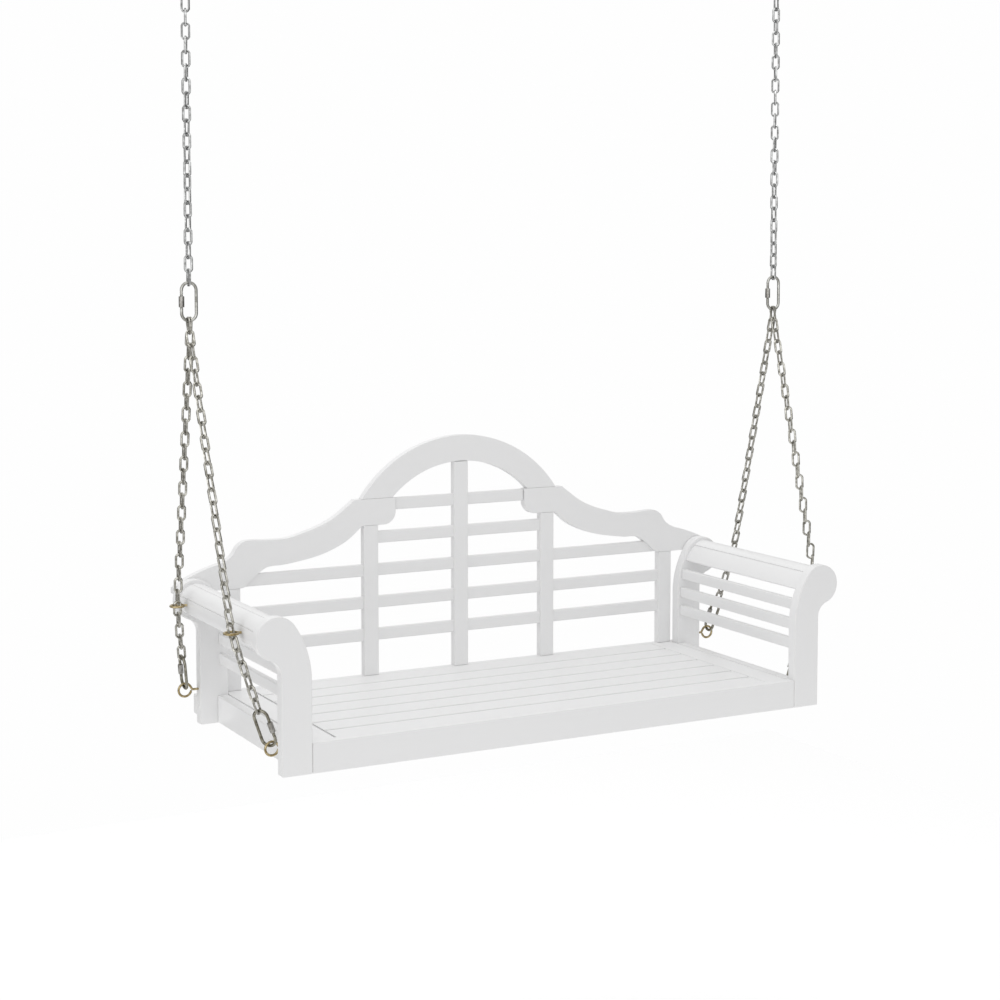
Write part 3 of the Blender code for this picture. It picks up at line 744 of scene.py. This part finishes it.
brass = metal("brass", (0.64, 0.54, 0.33), (0.24, 0.18, 0.085), 0.20, 0.10, 190.0)
for side_name, side in SIDES.items():
    for key in EYES:
        node = f"{key}_{side_name}"
        low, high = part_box(node)
        lies_flat = high.z - low.z < high.y - low.y
        across = Vector((0, 1, 0)) if lies_flat else Vector((0, 0, 1))
        root = low.x if side > 0 else high.x
        centre = eye_centre(node, side)
        flat = eye_path(-abs(root - centre.x))
        path = [centre + Vector((side * spot.x, 0, 0)) + across * spot.y for spot in flat]
        radii = [EYE_WIRE_R] * (len(path) - 1) + [EYE_WIRE_R * TIP_TAPER]
        eye = drawn_wire(path, radii, brass)
        fit(f"screw_eye_{node}", eye, "bench", "brass", node)

# ------------------------------------------------------------------------------------------------
# Quick links. Each is a bent bar, zinc plated, with a gap in one leg that a hexagonal sleeve nut closes as it
# screws along the thread. There is one below each upper chain, one at each load eye and one at the ceiling.
LINK_LENGTH = 0.078
LINK_WIDTH = 0.035
LINK_WIRE_R = 0.003
EYE_SLACK = 0.0018
NUT_TURN = {"front": math.radians(40), "rear": math.radians(180)}
NUT_FLATS = 0.0096
NUT_CORNER_R = 0.0054
NUT_FACE_R = 0.0047
NUT_BORE_R = 0.0034
NUT_LENGTH = 0.021
NUT_CHAMFER = 0.0010
NUT_SIDES = 36
NUT_MOUTH = 0.0003
BEND_STEP = 10
THREAD_PITCH = 0.0010
THREAD_DEEP = 0.00032
THREAD_REACH = (-0.0125, 0.0215)
LEG_GAP = (-0.0080, -0.0030)

link_zinc = metal("link_zinc_plate", (0.60, 0.60, 0.57), (0.26, 0.255, 0.23), 0.18, 0.08, 120.0)
# A darker, more olive copy of the link zinc for the links at the load eyes: painted shade, for the dimmer
# surroundings that metal low on the bench reflects.
shade_painted_link_zinc = metal("worn_link_zinc_plate", (0.44, 0.425, 0.365), (0.13, 0.12, 0.09), 0.20, 0.10, 120.0)
nut_zinc = metal("nut_zinc_plate", (0.50, 0.49, 0.47), (0.22, 0.21, 0.19), 0.28, 0.08, 150.0)
link_span = LINK_LENGTH - 2 * LINK_WIRE_R
bend_r = LINK_WIDTH / 2 - LINK_WIRE_R


def bent_bar(low, up, nut_side):
    """A quick link's bar from above its gap, round both bends, to below the gap; low is its lower bend."""
    path, radii = [], []
    leg_low, leg_high = bend_r, link_span - bend_r
    middle = link_span / 2

    def along_leg(start, stop, side):
        steps = max(2, round(abs(stop - start) / (THREAD_PITCH / 2))) if side > 0 else 2
        for step in range(steps + 1):
            height = start + (stop - start) * step / steps
            threaded = side > 0 and THREAD_REACH[0] < height - middle < THREAD_REACH[1]
            path.append(low + up * height + nut_side * (side * bend_r))
            radii.append(LINK_WIRE_R - (THREAD_DEEP if threaded and step % 2 else 0))

    def round_bend(height, start):
        for step in range(BEND_STEP, 180, BEND_STEP):
            angle = math.radians(start + step)
            across, rise = bend_r * math.cos(angle), bend_r * math.sin(angle)
            path.append(low + up * (height + rise) + nut_side * across)
            radii.append(LINK_WIRE_R)

    along_leg(middle + LEG_GAP[1], leg_high, 1)
    round_bend(leg_high, 0)
    along_leg(leg_high, leg_low, -1)
    round_bend(leg_low, 180)
    along_leg(leg_low, middle + LEG_GAP[0], 1)
    return path, radii


def sleeve_nut(middle, up, nut_side, material):
    """A long hexagonal nut, chamfered and bored through."""
    third = up.cross(nut_side)
    half = NUT_LENGTH / 2
    angles = [2 * math.pi * step / NUT_SIDES for step in range(NUT_SIDES)]

    def hexagon(angle):
        flat = (angle + math.pi / 6) % (math.pi / 3) - math.pi / 6
        return min(NUT_FLATS / 2 / math.cos(flat), NUT_CORNER_R)

    levels = (
        (half, [NUT_BORE_R] * NUT_SIDES),
        (half, [NUT_FACE_R - NUT_MOUTH] * NUT_SIDES),
        (half - NUT_CHAMFER * 0.25, [NUT_FACE_R] * NUT_SIDES),
        (half - NUT_CHAMFER, [hexagon(a) for a in angles]),
    )
    levels += tuple((-height, radii) for height, radii in levels[::-1])
    shape = bmesh.new()
    rings = []
    for height, radii in levels:
        spots = [middle + up * height + r * (math.cos(a) * nut_side + math.sin(a) * third)
                 for a, r in zip(angles, radii)]
        rings.append([shape.verts.new(spot) for spot in spots])
    for first, second in zip(rings, rings[1:] + rings[:1]):
        for step in range(NUT_SIDES):
            onward = (step + 1) % NUT_SIDES
            shape.faces.new((first[step], first[onward], second[onward], second[step]))
    bmesh.ops.recalc_face_normals(shape, faces=shape.faces)
    mesh = bpy.data.meshes.new("nut")
    shape.to_mesh(mesh)
    shape.free()
    mesh.materials.append(material)
    return mesh


def add_link(node, low, up, nut_side, zinc, link_body, nut_node, nut_body):
    path, radii = bent_bar(low, up, nut_side)
    fit(f"bent_{node}", drawn_wire(path, radii, zinc), link_body, "zinc_steel", node)
    middle = low + up * (link_span / 2) + nut_side * bend_r
    nut = sleeve_nut(middle, up, nut_side, nut_zinc)
    stands_for = [nut_node] if nut_node else []
    fit(f"hex_nut_{nut_node or node}", nut, nut_body, "sleeve_steel", *stands_for)


upright = Vector((0, 0, 1))
chain_starts = {}
for side_name, side in SIDES.items():
    for end, turn in NUT_TURN.items():
        eye = eye_centre(f"load_eye_{end}_{side_name}", side)
        guide = eye_centre(f"guide_eye_{end}_{side_name}", side)
        up = (guide - eye).normalized()
        low = eye + up * (EYE_R - EYE_WIRE_R - LINK_WIRE_R - EYE_SLACK)
        nut_side = Vector((-side * math.sin(turn), -math.cos(turn), 0))
        nut_side = (nut_side - up * nut_side.dot(up)).normalized()
        # The links at the load eyes take the darker zinc, which is painted shade.
        add_link(f"{end}_link_{side_name}", low, up, nut_side, shade_painted_link_zinc, "bench",
                 f"{end}_sleeve_{side_name}", f"{side_name}_{end}_sleeve")
        chain_starts[end, side_name] = (low + up * link_span, guide, nut_side)
    low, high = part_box(f"quick_link_{side_name}")
    bottom = Vector(((low.x + high.x) / 2, (low.y + high.y) / 2, low.z + LINK_WIRE_R))
    add_link(f"quick_link_{side_name}", bottom, upright, Vector((-1, 0, 0)), link_zinc,
             f"{side_name}_quick_link", f"quick_link_sleeve_{side_name}", f"{side_name}_quick_link_sleeve")
    low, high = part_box(f"top_link_{side_name}")
    bottom = Vector(((low.x + high.x) / 2, (low.y + high.y) / 2, low.z + LINK_WIRE_R))
    add_link(f"top_link_{side_name}", bottom, upright, Vector((0, 1, 0)), link_zinc, f"{side_name}_top_link",
             None, f"{side_name}_top_link")

# ------------------------------------------------------------------------------------------------
# Chains. Links of welded 4.8 mm wire, zinc plated, each turned a quarter from the last, darker low down as
# painted shade.
# One hangs from each ceiling link; two more spread from the link below it to the front and rear of the arm.
CHAIN_WIRE_R = 0.0024
CHAIN_INSIDE = 0.0254
CHAIN_WIDE = 0.0183
LINK_POINTS = 12
LINK_SIDES = 6
QUARTER = math.pi / 2
UPPER_LINKS = 25
SPREAD_LINKS = {"front": 30, "rear": 28}
SIDE_BY_SIDE = 0.0026


def chain_tree():
    """Links along a path: each a wire bent to a stadium, standing on the path and turned from the last."""
    tree = bpy.data.node_groups.new("chain along a path", "GeometryNodeTree")
    face = tree.interface
    face.new_socket("Path", in_out="INPUT", socket_type="NodeSocketGeometry")
    for name in ("Links", "Points", "Sides"):
        face.new_socket(name, in_out="INPUT", socket_type="NodeSocketInt")
    for name in ("Wire radius", "Inside length", "Width", "First turn", "Turn"):
        face.new_socket(name, in_out="INPUT", socket_type="NodeSocketFloat")
    face.new_socket("Metal", in_out="INPUT", socket_type="NodeSocketMaterial")
    face.new_socket("Chain", in_out="OUTPUT", socket_type="NodeSocketGeometry")
    make = NodeMaker(tree)
    given = make.node("NodeGroupInput")
    links, radius = given.out("Links"), given.out("Wire radius")
    bend = given.out("Width") * 0.5 - radius
    straight = given.out("Inside length") + radius * 2.0 - bend * 2.0

    ring = make.node("GeometryNodeCurvePrimitiveCircle", {"mode": "RADIUS"}, Resolution=given.out("Points"),
                     Radius=bend)
    spot = make.node("ShaderNodeSeparateXYZ", Vector=make.node("GeometryNodeInputPosition"))
    half_step = math.pi / given.out("Points")
    angle = make.maths("ARCTAN2", spot.out("Y"), spot) + half_step
    reach = bend / make.maths("COSINE", half_step)
    rise = make.maths("SINE", angle)
    stretched = rise * reach + make.maths("SIGN", rise) * straight * 0.5
    bent = make.node("ShaderNodeCombineXYZ", X=make.maths("COSINE", angle) * reach, Z=stretched)
    ring = make.node("GeometryNodeSetPosition", Geometry=ring, Position=bent)
    wire = make.node("GeometryNodeCurvePrimitiveCircle", {"mode": "RADIUS"}, Resolution=given.out("Sides"),
                     Radius=radius)
    link = make.node("GeometryNodeCurveToMesh", Curve=ring, Profile_Curve=wire)

    half = 0.5 / links
    path = make.node("GeometryNodeTrimCurve", {"mode": "FACTOR"}, Curve=given.out("Path"), Start=half,
                     End=1 - half)
    stations = make.node("GeometryNodeCurveToPoints", {"mode": "COUNT"}, Curve=path, Count=links)
    stand = make.node("FunctionNodeAlignRotationToVector", {"axis": "Z"}, Vector=stations.out("Tangent"))
    turn = make.node("GeometryNodeInputIndex") * given.out("Turn") + given.out("First turn")
    spin = make.node("FunctionNodeAxisAngleToRotation", Axis=(0, 0, 1), Angle=turn)
    locally = {"rotation_space": "LOCAL"}
    pose = make.node("FunctionNodeRotateRotation", locally, Rotation=stand, Rotate_By=spin)
    chain = make.node("GeometryNodeInstanceOnPoints", Points=stations, Instance=link, Rotation=pose)
    chain = make.node("GeometryNodeRealizeInstances", Geometry=chain)
    chain = make.node("GeometryNodeSetMaterial", Geometry=chain, Material=given.out("Metal"))
    make.tree.links.new(chain.socket, make.tree.nodes.new("NodeGroupOutput").inputs[0])
    return tree


make_chain = chain_tree()
chain_zinc = metal("chain_zinc", (0.72, 0.73, 0.73), (0.30, 0.30, 0.295), 0.16, 0.10, 140.0)
# A darker, more olive copy of the chain zinc for the chains that spread down to the arms: painted shade, for
# the dimmer surroundings that metal low down reflects.
shade_painted_zinc = metal("worn_chain_zinc", (0.68, 0.67, 0.62), (0.23, 0.22, 0.19), 0.17, 0.12, 140.0)


def chain_along(points, links, first_turn, turn, zinc):
    route = bpy.data.curves.new("route", "CURVE")
    route.dimensions = "3D"
    line = route.splines.new("POLY")
    line.points.add(len(points) - 1)
    for spot, point in zip(line.points, points):
        spot.co = (*point, 1)
    return made_by(make_chain, route, Links=links, Points=LINK_POINTS, Sides=LINK_SIDES, Turn=turn,
                   Wire_radius=CHAIN_WIRE_R, Inside_length=CHAIN_INSIDE, Width=CHAIN_WIDE,
                   First_turn=first_turn, Metal=zinc)


for side_name, side in SIDES.items():
    low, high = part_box(f"top_link_{side_name}")
    top = Vector(((low.x + high.x) / 2, (low.y + high.y) / 2, low.z + 2 * LINK_WIRE_R))
    low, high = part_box(f"quick_link_{side_name}")
    bottom = Vector((top.x, top.y, high.z - 2 * LINK_WIRE_R))
    twist = QUARTER + QUARTER / (UPPER_LINKS - 1)
    chain = chain_along((bottom, top), UPPER_LINKS, QUARTER, twist, chain_zinc)
    node = f"upper_chain_{side_name}"
    fit(f"welded_{node}", chain, f"{side_name}_chain", "zinc_steel", node)
    for end, beside in (("front", -1), ("rear", 1)):
        start, guide, nut_side = chain_starts[end, side_name]
        up = (guide - start).normalized()
        apex = Vector((top.x + beside * SIDE_BY_SIDE, top.y, low.z + 2 * LINK_WIRE_R))
        first_turn = math.asin(up.cross(nut_side).y)
        twist = QUARTER - first_turn / (SPREAD_LINKS[end] - 1)
        route = (start - up * LINK_WIRE_R, guide, apex)
        # The chains that spread to the arm take the darker zinc, which is painted shade.
        chain = chain_along(route, SPREAD_LINKS[end], first_turn, twist, shade_painted_zinc)
        fit(f"welded_{end}_chain_{side_name}", chain, "bench", "zinc_steel", f"v_chain_{side_name}")

# ------------------------------------------------------------------------------------------------
# Ceiling plates. A drilled steel plate for two coach screws, with a bar bent to a U and welded under it.
# The bare parts already have their true shape and take a dull zinc finish.
plate_zinc = metal("plate_zinc", (0.60, 0.59, 0.57), (0.36, 0.35, 0.33), 0.36, 0.12, 60.0)
for side_name in SIDES:
    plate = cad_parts[f"ceiling_plate_{side_name}"]
    plate.data.materials.clear()
    plate.data.materials.append(plate_zinc)
